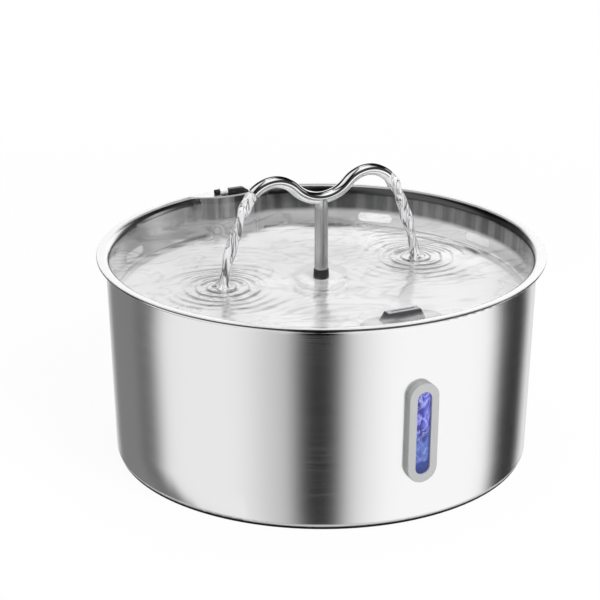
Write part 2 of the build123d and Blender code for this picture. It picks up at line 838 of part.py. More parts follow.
def make_magnet():
    """Cylinder magnet of the rotor, in its well."""
    front = chamber_back - magnet_proud
    back = front + magnet_length
    magnet = rod_y(magnet_r, front, back, z=rotor_z)
    return magnet - rod_y(shaft_r + shaft_gap, front - overrun, back + overrun, z=rotor_z)


def make_impeller():
    """Hub, back disc and curved blades, joined to the magnet's front."""
    back = chamber_back - magnet_proud
    front = back - impeller_depth
    wheel = rod_y(impeller_hub_r, front, back, z=rotor_z)
    wheel += rod_y(impeller_r, back - impeller_web, back, z=rotor_z)
    plane = Plane(origin=(0, back, rotor_z), x_dir=(1, 0, 0), z_dir=(0, -1, 0))
    for step in range(impeller_blades):
        wheel += extrude(plane * Rot(0, 0, step * 360 / impeller_blades) * blade_plan(), impeller_depth)
    return wheel - rod_y(shaft_r + shaft_gap, front - overrun, back + overrun, z=rotor_z)


def blade_plan():
    """Plan of one blade: an arc of even thickness from the hub to the rim."""
    start = impeller_hub_r - blade_root
    end = impeller_r - blade
    line = ThreePointArc((start, 0), ((start + end) / 2, blade_bow), (end, 0))
    return make_face(Wire([line]).offset_2d(blade / 2, side=Side.BOTH)).face()


def core_inner():
    """Half the free width between the core's limbs, round the rotor well."""
    return well_r + well_wall + seat_gap


def core_levels():
    """Y of the stator core's front and back."""
    return chamber_back + pump_wall + core_front, pump_back_y - back_plate - core_back


def make_stator_core():
    """Stack of U laminations whose poles clasp the rotor well."""
    front, back = core_levels()
    inner = core_inner()
    outer = inner + core_pole_width
    low = rotor_z - core_stack / 2
    high = rotor_z + core_stack / 2
    window = inner - core_shoe
    core = block(-outer, outer, front, back, low, high)
    core -= block(-window, window, front - overrun, back - core_pole_width, low - overrun, high + overrun)
    return core - rod_y(inner, front - overrun, well_back + well_wall + seat_gap, z=rotor_z)


def make_stator_coil():
    """Winding round the core's yoke."""
    back = core_levels()[1]
    front = back - core_pole_width
    half = core_inner() - coil_inset
    low = rotor_z - core_stack / 2
    high = rotor_z + core_stack / 2
    coil = block(-half, half, front - coil_wall, back + coil_back, low - coil_wall, high + coil_wall)
    coil = fillet(coil.edges().filter_by(Axis.X), coil_edge)
    return coil - block(-half - overrun, half + overrun, front, back, low, high)


def make_board():
    """Driver board on edge beside the core, between the housing's floor and roof, with its chips."""
    front, back = core_levels()
    middle_y = (front + back) / 2
    x = pump_width / 2 - pump_wall - board_space
    y_low = middle_y - board_width / 2
    plate = block(x, x + board, y_low, y_low + board_width, pump_z + pump_wall, pump_top_z - pump_wall)
    for level in chip_levels:
        z = rotor_z + level
        plate += block(
            x + board, x + board + chip_height,
            middle_y - chip_length / 2, middle_y + chip_length / 2,
            z - chip / 2, z + chip / 2,
        )
    return plate


def make_riser():
    """Upright pipe from the pump's outlet to the tray's middle."""
    pipe = disc(riser_r, pump_top_z, riser_top_z)
    pipe = chamfer(pipe.edges().group_by(Axis.Z)[-1], riser_edge)
    pipe -= disc(spigot_r, pump_top_z - overrun, pump_top_z + spigot_length + seat_gap)
    pipe -= disc(spigot_bore_r, pump_top_z, riser_top_z)
    return pipe - disc(tail_r + slip_gap, sleeve_foot_z - body_gap, riser_top_z + overrun)


# ================================================================ pump cover
def make_pump_cover():
    """Front cover with an intake grille, a spider for the front bush and two clip arms."""
    front = cover_front
    back = cover_back
    half = pump_width / 2
    shell = block(-half, half, front, back, pump_z, pump_top_z)
    shell = fillet(shell.edges().filter_by(Axis.Y), cover_corner_r)
    shell = chamfer(shell.faces().sort_by(Axis.Y)[0].edges(), cover_bevel)
    shell -= block(
        -half + cover_shell, half - cover_shell,
        front + cover_shell, back - cover_shell,
        pump_z + cover_shell, pump_top_z - cover_head,
    )
    shell -= rod_y(eye_r, back - cover_shell - overrun, back + overrun, z=rotor_z)
    for step in range(grille_slots):
        x = (step - (grille_slots - 1) / 2) * grille_pitch
        shell -= block(
            x - grille_slot / 2, x + grille_slot / 2,
            front - overrun, front + cover_shell + overrun,
            rotor_z - grille_down, rotor_z + grille_up,
        )
    shell += rod_y(pump_bush_r + boss_wall, front + cover_shell, back, z=rotor_z)
    reach = eye_r + overrun
    for turn in (0, 90):
        bar = block(-reach, reach, back - spider, back, -spider / 2, spider / 2)
        shell += Pos(0, 0, rotor_z) * Rot(0, turn, 0) * bar
    shell -= rod_y(pump_bush_r, front_bush_y(), back + overrun, z=rotor_z)
    shell -= rod_y(lamp_r + lamp_gap, front - overrun, back + overrun, x=lamp_x, z=lamp_z)
    arm = clip_arm()
    return shell + arm + mirror(arm, about=Plane.YZ)


def clip_arm():
    """Spring arm along the pump's side."""
    inner = pump_width / 2 + body_gap
    outer = inner + clip
    low = rotor_z - clip_width / 2
    high = rotor_z + clip_width / 2
    front = cover_back - clip_root - overrun
    root = block(pump_width / 2 - cover_shell, outer, front, cover_back - overrun, low, high)
    return root + block(inner, outer, front, cover_back + clip_length, low, high)


def make_front_bush():
    """Rubber bush in the cover that carries the shaft's front end."""
    front = front_bush_y()
    bush = rod_y(pump_bush_r, front, front + front_bush, z=rotor_z)
    return bush - rod_y(shaft_r + shaft_gap, front + bush_end, front + front_bush + overrun, z=rotor_z)


def make_sponge():
    """Intake sponge behind the grille, with a hole for the bush's boss."""
    front = cover_front + cover_shell
    half = pump_width / 2 - cover_shell - sponge_gap
    low = pump_z + cover_shell + sponge_gap
    high = pump_top_z - cover_head - sponge_gap
    pad = block(-half, half, front, front + sponge, low, high)
    hole_r = pump_bush_r + boss_wall + seat_gap
    return pad - rod_y(hole_r, front - overrun, front + sponge + overrun, z=rotor_z)


# ================================================================ lamp, lead and inlet
def make_lamp():
    """Clear lamp in the pump's front that lights the water-level window."""
    return rod_y(lamp_r, pump_front_y, pump_front_y + lamp_length, x=lamp_x, z=lamp_z)


def make_lead():
    """Round lead: out of the grommet, over the floor, up behind the recess into the inlet's leg."""
    floor_z = basin_floor_z + floor_step + lead_clear + lead_r
    start_y = pump_back_y - back_plate - lead_tail
    route = [(0, start_y, lead_exit_z), (0, pump_back_y + lead_out, lead_exit_z)]
    route.append((0, pump_back_y + lead_out + lead_dip, floor_z))
    route += [(0, lead_y - inward, floor_z + up) for inward, up in lead_climb]
    route += [(0, lead_y, inlet_leg_z - lead_straight), (0, lead_y, inlet_leg_z + lead_grip)]
    start = Plane(origin=route[0], x_dir=(1, 0, 0), z_dir=(0, 1, 0))
    return sweep(start * Circle(lead_r), path=FilletPolyline(*route, radius=list(lead_bends)))


def make_inlet_housing():
    """Power inlet clipped over the basin's lip: a low sloped cap, a leg inside the wall, a barrel."""
    width = inlet_right - inlet_left
    back_y = inlet_front_y + inlet_depth
    top = rim_z + inlet_rise
    side = FilletPolyline(
        (inlet_front_y, basin_lip_z),
        (inlet_front_y, top),
        (inlet_front_y + inlet_level, top),
        (back_y, rim_z + inlet_back_rise),
        (back_y, basin_lip_z),
        radius=[0, inlet_edge, inlet_edge, inlet_back_rise, 0],
        close=True,
    )
    cap = extrude(Plane.YZ.offset(inlet_left) * make_face(side), width)
    middle = Pos((inlet_left + inlet_right) / 2, (inlet_front_y + back_y) / 2)
    plan = middle * RectangleRounded(width, inlet_depth, inlet_corner_r)
    cap = cap & extrude(Plane.XY.offset(basin_lip_z) * plan, inlet_rise + rim_z)
    end = Polyline(
        (inlet_left, basin_lip_z),
        (inlet_right, basin_lip_z),
        (inlet_right, top - inlet_slope_drop),
        (inlet_right - inlet_slope, top),
        (inlet_left, top),
        close=True,
    )
    cap = cap & extrude(Plane.XZ.offset(-back_y - overrun) * make_face(end), inlet_depth + 2 * overrun)
    leg = extrude(Plane.XY.offset(inlet_leg_z) * plan, basin_lip_z + sheet - inlet_leg_z) & basin_hollow()
    body = (cap + leg) & behind_recess(sheet + body_gap, inlet_leg_z, top + overrun)
    body += socket_line(socket_mouth, inlet_left + overrun, barrel_r)
    body -= socket_line(socket_mouth - overrun, socket_mouth + socket_depth, socket_bore_r)
    hole = Pos(0, lead_y, 0) * disc(lead_r, inlet_leg_z - overrun, inlet_leg_z + lead_grip)
    return body - hole


def socket_line(x_low, x_high, r):
    """Cylinder along X through the socket's centre."""
    return Pos((x_low + x_high) / 2, barrel_y, barrel_z) * Rot(0, 90, 0) * Cylinder(r, x_high - x_low)


def make_socket_ring():
    """Pale collar on the socket's barrel."""
    low = inlet_left - collar_length
    ring = socket_line(low, inlet_left, barrel_r + socket_collar)
    return ring - socket_line(low - overrun, inlet_left + overrun, barrel_r)


def make_socket_pin():
    """Centre pin of the socket."""
    return socket_line(socket_mouth + socket_pin_back, socket_mouth + socket_depth, socket_pin_r)


NODES = {
    "basin": make_basin,
    "base_ring": make_base_ring,
    "window_bezel": make_bezel,
    "window_lens": make_lens,
    "window_gasket": make_gasket,
    "window_clamp": make_clamp,
    "window_screws": make_window_screws,
    "tray": make_tray,
    "tray_bush": make_bush,
    "spout_arms": make_spout_arms,
    "spout_post": make_spout_post,
    "spout_collar": make_spout_collar,
    "spout_sleeve": make_spout_sleeve,
    "filter_cover": make_filter_cover,
    "filter_grip": make_filter_grip,
    "filter_basket": make_filter_basket,
    "carbon_core": make_carbon_core,
    "filter_foam": make_filter_foam,
    "pump_housing": make_pump_housing,
    "suction_cups": make_suction_cups,
    "pump_back": make_pump_back,
    "lead_grommet": make_grommet,
    "rotor_shaft": make_shaft,
    "shaft_bush_rear": make_rear_bush,
    "rotor_magnet": make_magnet,
    "impeller": make_impeller,
    "stator_core": make_stator_core,
    "stator_coil": make_stator_coil,
    "driver_board": make_board,
    "riser_pipe": make_riser,
    "pump_cover": make_pump_cover,
    "shaft_bush_front": make_front_bush,
    "intake_sponge": make_sponge,
    "window_lamp": make_lamp,
    "pump_lead": make_lead,
    "inlet_housing": make_inlet_housing,
    "socket_ring": make_socket_ring,
    "socket_pin": make_socket_pin,
}

os.makedirs("parts", exist_ok=True)
for node, make in NODES.items():
    export_step(make(), f"parts/{node}.step")
    print(node)
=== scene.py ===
# %% [markdown]
# # A steel water fountain for pets
#
# The packed model holds every rigid piece of the fountain at its real size.
# This lesson dresses it: it gives each piece a finish, adds the moving water that
# no rigid part can show, and sets up a camera and a soft studio.
# Everything is in metres, with the origin under the middle of the base ring.

# %% Load the fixed frame
import math
import bpy
from mathutils import Euler, Matrix, Vector, noise


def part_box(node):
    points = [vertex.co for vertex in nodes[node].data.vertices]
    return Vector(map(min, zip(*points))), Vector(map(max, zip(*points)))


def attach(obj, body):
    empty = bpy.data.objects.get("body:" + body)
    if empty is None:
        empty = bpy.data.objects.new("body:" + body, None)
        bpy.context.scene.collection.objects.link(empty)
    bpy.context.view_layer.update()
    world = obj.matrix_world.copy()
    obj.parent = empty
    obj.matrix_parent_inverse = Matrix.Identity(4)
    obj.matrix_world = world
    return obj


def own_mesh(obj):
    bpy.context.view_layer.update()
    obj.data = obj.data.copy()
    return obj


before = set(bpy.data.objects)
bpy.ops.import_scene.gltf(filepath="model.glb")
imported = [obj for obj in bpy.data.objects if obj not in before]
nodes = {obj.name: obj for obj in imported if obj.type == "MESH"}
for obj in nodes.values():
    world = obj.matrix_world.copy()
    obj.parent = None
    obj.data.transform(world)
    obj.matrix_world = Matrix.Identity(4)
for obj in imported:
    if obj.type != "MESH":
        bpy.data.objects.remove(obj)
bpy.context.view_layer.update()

# %% [markdown]
# ## Shader maths as Python
#
# Most finishes below are sums and products of a few noise patterns. Written as
# separate nodes they would fill pages, so a small class wraps an output socket
# and turns Python's operators into Math nodes. A finish is then one short expression.

# %% A socket that can be calculated with
class Value:
    """A single number that varies over a surface."""

    def __init__(self, finish, socket):
        self.finish = finish
        self.socket = socket

    def _math(self, operation, *others):
        return self.finish.value("ShaderNodeMath", {"operation": operation}, [self, *others])

    def __add__(self, other):
        return self._math("ADD", other)

    __radd__ = __add__

    def __mul__(self, other):
        return self._math("MULTIPLY", other)

    __rmul__ = __mul__

    def __sub__(self, other):
        return self._math("SUBTRACT", other)

    def __rsub__(self, other):
        return self * -1 + other

    def __truediv__(self, other):
        return self._math("DIVIDE", other)

    def power(self, exponent):
        return self._math("POWER", exponent)

    def sine(self):
        return self._math("SINE")

    def arc_cosine(self):
        return self._math("ARCCOSINE")

    def size(self):
        return self._math("ABSOLUTE")

    def lower(self, other):
        return self._math("MINIMUM", other)

    def higher(self, other):
        return self._math("MAXIMUM", other)

    def step(self, low, high):
        """0 below low, 1 above high, smooth between them."""
        settings = {"interpolation_type": "SMOOTHSTEP"}
        inputs = [self, low, high, 0.0, 1.0]
        return self.finish.value("ShaderNodeMapRange", settings, inputs)

    def line(self, level, half_width):
        """1 where the number is at level, falling to 0 at half_width from it."""
        return 1 - (self - level).size().step(0, half_width)


print("a Value knows", ", ".join(name for name in vars(Value) if not name.startswith("_")))

# %% [markdown]
# ## One class for every finish
#
# A finish is a Principled shader with a few constants, such as its roughness, set
# directly on the shader. Only what changes over the surface is linked. Lengths in
# a finish are in millimetres, because that is how a grain or a bend is measured.

# %% A finish
class Finish:
    """A material, or the world, with one method that adds any node."""

    def __init__(self, name, colour=(0.8, 0.8, 0.8), world=False, **constants):
        self.data = bpy.data.worlds.new(name) if world else bpy.data.materials.new(name)
        self.data.use_nodes = True
        self.tree = self.data.node_tree
        self.colour = colour
        self.shader = self.tree.nodes.get("Principled BSDF")
        self.output = self.tree.nodes.get("Material Output") or self.tree.nodes.get("World Output")
        if self.shader is not None:
            self.shader.inputs["Base Color"].default_value = (*colour, 1)
            for key, value in constants.items():
                self.shader.inputs[key.replace("_", " ")].default_value = value

    def node(self, kind, settings=None, inputs=(), output=0):
        """Adds a node, sets it up, feeds its inputs in order or by key, and returns one output."""
        made = self.tree.nodes.new(kind)
        for key, value in (settings or {}).items():
            setattr(made, key, value)
        pairs = inputs.items() if isinstance(inputs, dict) else enumerate(inputs)
        for key, value in pairs:
            self.feed(made.inputs[key], value)
        return made.outputs[output]

    def value(self, kind, settings=None, inputs=(), output=0):
        """Adds a node in the same way, and returns its output as a number for sums."""
        return Value(self, self.node(kind, settings, inputs, output))

    def feed(self, socket, value):
        """Links a socket or a Value, or sets a plain number, colour or vector."""
        if isinstance(value, Value):
            value = value.socket
        if isinstance(value, bpy.types.NodeSocket):
            self.tree.links.new(value, socket)
        elif isinstance(value, (tuple, list)) and len(value) == 3 and socket.type == "RGBA":
            socket.default_value = (*value, 1)
        else:
            socket.default_value = value

    def place(self, scale=(1, 1, 1)):
        """Object coordinates in millimetres, stretched by scale."""
        coordinates = self.node("ShaderNodeTexCoord", output="Object")
        factors = tuple(1000 * s for s in scale)
        return self.node("ShaderNodeVectorMath", {"operation": "MULTIPLY"}, [coordinates, factors])

    def axis(self, letter):
        """One object coordinate in millimetres."""
        return self.value("ShaderNodeSeparateXYZ", None, [self.place()], letter)

    def from_axis(self):
        """Distance from the upright axis through the middle, in millimetres."""
        return (self.axis("X").power(2) + self.axis("Y").power(2)).power(0.5)

    def noise(self, size, detail=2.0, stretch=(1, 1, 1), distortion=0.0):
        """Noise whose patches are about size millimetres across, about 0.5 on average."""
        inputs = {"Vector": self.place(tuple(s / size for s in stretch)), "Scale": 1.0}
        inputs.update(Detail=detail, Distortion=distortion)
        return self.value("ShaderNodeTexNoise", None, inputs)

    def cells(self, size, feature="F1"):
        """Distance to the nearest of scattered points, about size millimetres apart."""
        inputs = {"Vector": self.place((1 / size,) * 3), "Scale": 1.0}
        return self.value("ShaderNodeTexVoronoi", {"feature": feature}, inputs)

    def mix(self, factor, a, b):
        """Colour a where factor is 0, b where it is 1."""
        return self.node("ShaderNodeMix", {"data_type": "RGBA"}, {0: factor, 6: a, 7: b}, 2)

    def link(self, socket_name, value):
        """Feeds one of the shader's own sockets."""
        self.feed(self.shader.inputs[socket_name], value)
        return self

    def shade(self, factor, low, high):
        """Its own colour, times low where factor is 0 and times high where it is 1."""
        dark = tuple(c * low for c in self.colour)
        light = tuple(c * high for c in self.colour)
        return self.link("Base Color", self.mix(factor, dark, light))

    def bump(self, height, distance_mm, strength=1.0):
        """Relief of that depth, through the shader's Normal."""
        inputs = {"Height": height, "Distance": distance_mm / 1000, "Strength": strength}
        return self.link("Normal", self.node("ShaderNodeBump", None, inputs))

    def on(self, *names):
        """Gives CAD nodes this finish through their own material slots."""
        for name in names:
            mesh = nodes[name].data
            mesh.materials.clear()
            mesh.materials.append(self.data)
        print(self.data.name, "on", ", ".join(names))
        return self


print("a Finish knows", ", ".join(name for name in vars(Finish) if not name.startswith("_")))

# %% [markdown]
# ## Putting things in the scene
#
# A camera, a lamp and a mesh all enter the scene in the same way, so two short
# functions do it: one for any object, and one for a mesh given as points and faces.

# %% Objects and meshes
def put(name, data):
    """Puts data in the scene as an object of that name."""
    made = bpy.data.objects.new(name, data)
    bpy.context.scene.collection.objects.link(made)
    return made


def mesh_of(name, points, faces, finish, smooth=True):
    """An object made of points and faces, with one finish."""
    mesh = bpy.data.meshes.new(name)
    mesh.from_pydata(points, [], faces)
    mesh.materials.append(finish.data)
    if smooth:
        mesh.shade_smooth()
    return put(name, mesh)


# %% [markdown]
# ## The camera
#
# The camera stands about a metre away, a third of a metre above the rim, and looks
# down on the water. Its long lens keeps the basin's sides nearly parallel.

# %% Place the camera
view_turn = math.radians(-26)
camera_distance = 0.950
camera_height = 0.4289
look_down = math.radians(20.43)
look_aside = math.radians(0.629)
frame_px = 600
focal_px = 2047.0

camera_data = bpy.data.cameras.new("camera")
camera_data.sensor_width = 36.0
camera_data.lens = focal_px / frame_px * camera_data.sensor_width
camera_data.clip_start = 0.01
camera = put("camera", camera_data)
camera.location = Matrix.Rotation(view_turn, 3, "Z") @ Vector((0, -camera_distance, camera_height))
camera.rotation_euler = Euler((math.pi / 2 - look_down, 0, view_turn + look_aside), "XYZ")
bpy.context.scene.camera = camera
bpy.context.scene.view_settings.view_transform = "Standard"
print("camera at", [round(v, 3) for v in camera.location], "lens", round(camera_data.lens, 1), "mm")

# %% [markdown]
# ## The studio
#
# Polished steel has no colour of its own: it shows the room. In a product studio the
# room is white, with a few black flags that draw the dark bands down the wall of a
# round pot. Here the world plays that room. The camera's own rays see plain white,
# and every other ray sees the white room with its flags. A flag can be a tall strip
# on a stand, or a sheet that covers a patch of the room between two heights: the
# sheet in front draws the dark line along the spout, the one at the back its upper
# edge, and a brighter patch opposite the camera lights the rim and the water.

# %% The room as the steel sees it
room = Finish("studio_room", world=True)
background = room.tree.nodes["Background"]
direction = room.node("ShaderNodeTexCoord", output="Generated")
across, along, up = (room.value("ShaderNodeSeparateXYZ", None, [direction], i) for i in range(3))
camera_bearing = math.atan2(camera.location.y, camera.location.x)


def bearing_from(offset_deg):
    """Level angle in degrees, 0 to 180, between a direction and one that far from the camera's."""
    centre = camera_bearing + math.radians(offset_deg)
    level = (across * across + along * along).power(0.5)
    lined_up = (across * math.cos(centre) + along * math.sin(centre)) / level
    return lined_up.arc_cosine() * math.degrees(1)


def flag(offset_deg, full, fade, darkness):
    """A black flag on its stand: dark to full degrees from its middle, gone at fade degrees."""
    return 1 - (1 - bearing_from(offset_deg).step(full, fade)) * darkness


def sector(bearing_deg, full, fade, low, high, blur):
    """1 inside a patch of the room: so far round from a bearing, between two heights."""
    round_it = 1 - bearing_from(bearing_deg).step(full, fade)
    return round_it * up.step(low, low + blur) * (1 - up.step(high, high + blur))


room_tone = 0.97 - 0.13 * bearing_from(60).step(30, 120)
for offset_deg, full, fade, darkness in (
    (-1, 7, 19, 1.0), (0, 6, 42, 0.35), (-27, 0, 24, 0.20),
    (127, 10, 27, 0.98), (-128, 22, 38, 0.76), (-110, 4, 12, 0.40),
):
    room_tone = room_tone * flag(offset_deg, full, fade, darkness)
front_flag = sector(40, 50, 75, -0.10, 0.60, 0.12)
back_flag = sector(165, 72, 100, 0.42, 0.84, 0.07)
far_glow = sector(180, 50, 80, 0.0, 0.42, 0.08)
room_tone = room_tone * (1 - 0.95 * front_flag) * (1 - 0.97 * back_flag) * (1 + 0.22 * far_glow)
room_level = 1.08
by_camera = room.value("ShaderNodeLightPath", output="Is Camera Ray")
room_strength = by_camera + (1 - by_camera) * (room_tone * room_level)
room.feed(background.inputs["Strength"], room_strength)
background.inputs["Color"].default_value = (1, 1, 1, 1)
bpy.context.scene.world = room.data
print("room: camera bearing", round(math.degrees(camera_bearing), 1), "degrees")

# %% [markdown]
# Two softboxes light what isn't a mirror: the grey mouldings, the jets and the satin
# floor of the tray. Mirrors don't show them, because the room does that work.

# %% Lamps
def lamp(name, bearing_deg, height, distance, size, watts):
    """A square softbox at a bearing from the camera's side, aimed at the water."""
    data = bpy.data.lights.new(name, "AREA")
    data.size = size
    data.energy = watts
    made = put(name, data)
    angle = camera_bearing + math.radians(bearing_deg)
    made.location = (distance * math.cos(angle), distance * math.sin(angle), height)
    aim = Vector((0, 0, 0.08)) - made.location
    made.rotation_euler = aim.to_track_quat("-Z", "Y").to_euler()
    made.visible_glossy = False


lamp("key_softbox", 35, 0.8, 0.8, 0.5, 9.0)
lamp("top_softbox", 170, 1.2, 0.3, 0.8, 6.0)
print("lamps placed")

# %% [markdown]
# ## The table
#
# The table is plain white. The camera sees it as white paper that glows; the little
# that is left of its shading keeps the fountain's shadow, and far away even that
# goes, so that the table meets the white room without a line. It is hidden from
# glossy rays, or the steel wall, which looks slightly downward, would show
# nothing but table.

# %% Table top
reach = 6.0
corners = [(-reach, -reach, 0), (reach, -reach, 0), (reach, reach, 0), (-reach, reach, 0)]
paper = Finish("white_paper", (0.86, 0.86, 0.86), Roughness=0.9)
seen = paper.value("ShaderNodeLightPath", output="Is Camera Ray")
for ray in ("Is Glossy Ray", "Is Transmission Ray"):
    seen = seen.higher(paper.value("ShaderNodeLightPath", output=ray))
glow = paper.node("ShaderNodeEmission", None, [(1, 1, 1), 1.0])
glow_near = 0.94
share = seen * (glow_near + (1 - glow_near) * paper.from_axis().step(300, 700))
two_papers = paper.node("ShaderNodeMixShader", None, [share, paper.shader.outputs[0], glow])
paper.feed(paper.output.inputs[0], two_papers)
table = mesh_of("table_top", corners, [(0, 1, 2, 3)], paper, smooth=False)
table.visible_glossy = False
print("table top", 2 * reach, "m square")

# %% [markdown]
# ## Steel
#
# The mesh of a turned shape is closed by a seam, where its two ends don't know of
# each other. A mirror finish would show the seam as a hard line, so the
# directions of both sides are averaged there; sharp edges stay sharp.

# %% Seams
def heal_seams(name, sharpest_deg=25):
    """Averages the normals of a mesh's corners that share a place and nearly a direction."""
    mesh = nodes[name].data
    normals = [Vector(corner.vector) for corner in mesh.corner_normals]
    places = {}
    for loop in mesh.loops:
        at = mesh.vertices[loop.vertex_index].co
        microns = tuple(round(1e6 * value) for value in at)
        places.setdefault(microns, []).append(loop.index)
    healed = list(normals)
    alike = math.cos(math.radians(sharpest_deg))
    for shared in places.values():
        for i in shared:
            close = [normals[k] for k in shared if normals[k].dot(normals[i]) > alike]
            healed[i] = sum(close, Vector()).normalized()
    mesh.normals_split_custom_set(healed)
    print(name, "has", len(places), "places and", len(normals), "corners")


heal_seams("basin")
heal_seams("tray")

# %% [markdown]
# The basin is spun or drawn, then brushed with a belt while it turns, so its grain
# runs round it. That grain smears reflections up and down: each band of the room
# runs the whole height of the wall. The anisotropy is a constant, and its default
# direction already circles the Z axis. The grain itself is noise stretched along the
# wall, with faint wipe marks on top. The rolled rim is smoother, the small bend at the
# foot is dull, and its last millimetre is painted dark: painted shade above the black ring.

# %% Basin
basin_steel = Finish("basin_steel", (0.90, 0.90, 0.905), Metallic=1.0, Anisotropic=0.8)
grain = basin_steel.noise(0.45, 2, (0.015, 0.015, 1.0))
wipes = basin_steel.noise(60, 3, (1, 1, 0.4))
level = basin_steel.axis("Z")
rolled_rim = level.step(97.0, 98.5)
painted_foot_shade = 1 - level.step(1.1, 2.2)
foot_bend = 1 - level.step(2.0, 3.4)
brushed = (0.11 + grain * 0.06 + wipes * 0.04) * (1 - 0.6 * rolled_rim)
basin_steel.link("Roughness", brushed + foot_bend * 0.40)
# painted shade: the lowest millimetre of the wall, above the black ring, is painted near black
basin_steel.shade(painted_foot_shade + (1 - painted_foot_shade) * (1 - grain) * 0.05, 1.02, 0.12)
basin_steel.bump(grain, 0.006, 0.25)
basin_steel.on("basin")

# %% [markdown]
# The tray is pressed from the same sheet and finished finer. Its wall and the bend
# above it are painted darker than its floor at the back: painted dark reflection, with
# the upright draw marks that the press leaves where it drags the sheet over it, most
# of all beside the cable recess. The floor is satin: part of its light comes from the
# lamps and not from the mirror. The hem under the rim is painted dark: painted shade where it
# covers the basin's rolled edge.

# %% Tray
tray_steel = Finish("tray_steel", (0.90, 0.90, 0.905))
fine = tray_steel.noise(0.35, 2, (0.03, 0.03, 0.6))
draw_marks = tray_steel.noise(5, 2, (1, 1, 0.05))
back_bearing = math.radians(38)


def backward_of(finish):
    """How far a point lies toward the far side of the tray, in millimetres."""
    return finish.axis("X") * math.cos(back_bearing) + finish.axis("Y") * math.sin(back_bearing)


height = tray_steel.axis("Z")
below_rim = 1 - height.step(101.2, 101.8)
on_wall = height.step(87.5, 91) * below_rim
on_bend = height.step(97.5, 99) * below_rim
on_rim = height.step(101.5, 101.9)
recess_middle = -14
by_recess = 1 - (tray_steel.axis("X") - recess_middle).size().step(16, 32)
streaks = draw_marks.step(0.35, 0.65) * (0.15 + 0.65 * by_recess)
# painted dark reflection on the back wall and its bend; the streaks on it are draw marks
painted_dark_and_draw_marks = on_wall * (0.78 - 0.42 * by_recess + streaks) + on_bend * 0.22
painted_dark_and_draw_marks = painted_dark_and_draw_marks * backward_of(tray_steel).step(15, 80)
from_axis = tray_steel.from_axis()
rim_r = 1000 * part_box("tray")[1].x
# painted shade: the hem's outer face is painted near black
painted_hem_shade = from_axis.step(rim_r - 1.1, rim_r - 0.9) * (1 - height.step(101.75, 101.95))
tray_steel.shade((painted_dark_and_draw_marks + on_rim * 0.14).higher(painted_hem_shade), 1.0, 0.10)
satin = (1 - height.step(84, 90)) * (1 - from_axis.step(99, 102))
tray_steel.link("Roughness", 0.10 + fine * 0.06 + satin * 0.28 + on_wall * 0.08)
tray_steel.link("Metallic", 1 - satin * 0.80 - on_rim * 0.45)
tray_steel.bump(fine, 0.004, 0.2)
tray_steel.on("tray")

# %% [markdown]
# The spout is bent from thin tube and polished to a mirror. Bending stretches the
# outside of the curve, which leaves long soft waves in the polish. The post below it
# is plain tube and duller; it is painted darker as painted dark reflection, and darker
# still toward its foot as painted shade above the collar. The screws and the socket's pin are
# turned and left unpolished.

# %% Spout and screws
spout_steel = Finish("spout_steel", (0.93, 0.93, 0.935), Metallic=1.0)
polish = spout_steel.noise(5, 2, (0.3, 1, 1))
on_post = 1 - spout_steel.axis("Z").step(122, 126)
painted_post_foot_shade = 1 - spout_steel.axis("Z").step(93, 102)
spout_steel.link("Roughness", 0.03 + polish * 0.05 + on_post * 0.20)
# painted dark reflection on the post, and painted shade toward its foot
spout_steel.shade(on_post * 0.5 + painted_post_foot_shade * 0.4, 1.0, 0.45)
spout_steel.bump(polish, 0.03, 0.2)
spout_steel.on("spout_arms", "spout_post")

screw_steel = Finish("screw_steel", (0.55, 0.55, 0.56), Metallic=1.0)
turning = screw_steel.noise(0.3, 2)
screw_steel.link("Roughness", 0.25 + turning * 0.15)
screw_steel.bump(turning, 0.01, 0.4)
screw_steel.on("window_screws", "socket_pin")

# %% [markdown]
# ## Mouldings
#
# Moulded plastic and rubber copy their steel mould: a fine even texture, with broad
# flow marks where the melt cooled unevenly. One recipe makes them all, and its
# numbers set how coarse, how deep and how glossy each one is.

# %% Plastic and rubber
def moulded(name, colour, roughness, speck=0.5, shade=0.06, relief=0.012, **constants):
    """A moulding with that size of texture, depth of shade and relief in millimetres."""
    finish = Finish(name, colour, **constants)
    texture = finish.noise(speck, 3)
    flow = finish.noise(14, 2, (1, 1, 0.4), 0.6)
    finish.link("Roughness", roughness - 0.06 + flow * 0.12)
    finish.shade(texture * 0.4 + flow * 0.6, 1 - shade, 1 + shade)
    return finish.bump(texture, relief, 0.6)


moulded("black_silicone", (0.016, 0.016, 0.017), 0.55, 0.7, 0.15, 0.02).on(
    "base_ring", "spout_collar", "lead_grommet", "shaft_bush_rear", "shaft_bush_front")
moulded("bezel_grey", (0.45, 0.455, 0.455), 0.42, 0.35, 0.04).on("window_bezel")
moulded("black_plastic", (0.012, 0.012, 0.013), 0.20, 0.4, 0.1, 0.004).on("inlet_housing")
moulded("pale_plastic", (0.80, 0.80, 0.80), 0.30, 0.4, 0.03).on("socket_ring", "spout_sleeve")
moulded("grey_silicone", (0.50, 0.50, 0.50), 0.45, 0.6, 0.05).on("suction_cups")
moulded("grey_plastic", (0.52, 0.52, 0.52), 0.45, 0.5, 0.05).on("filter_cover")
moulded("white_silicone", (0.78, 0.78, 0.78), 0.5, 0.5, 0.04).on("window_gasket", "tray_bush")
moulded("white_plastic", (0.80, 0.80, 0.79), 0.40, 0.5, 0.04).on(
    "window_clamp", "filter_basket", "impeller", "riser_pipe")
moulded("pump_white", (0.80, 0.81, 0.82), 0.28, 0.6, 0.04).on(
    "pump_housing", "pump_back", "pump_cover")
moulded("lead_black", (0.02, 0.02, 0.021), 0.42, 1.1, 0.12, 0.015).on("pump_lead")
moulded("ceramic_white", (0.85, 0.85, 0.83), 0.18, 0.25, 0.02, 0.003, Coat_Weight=0.3).on(
    "rotor_shaft")

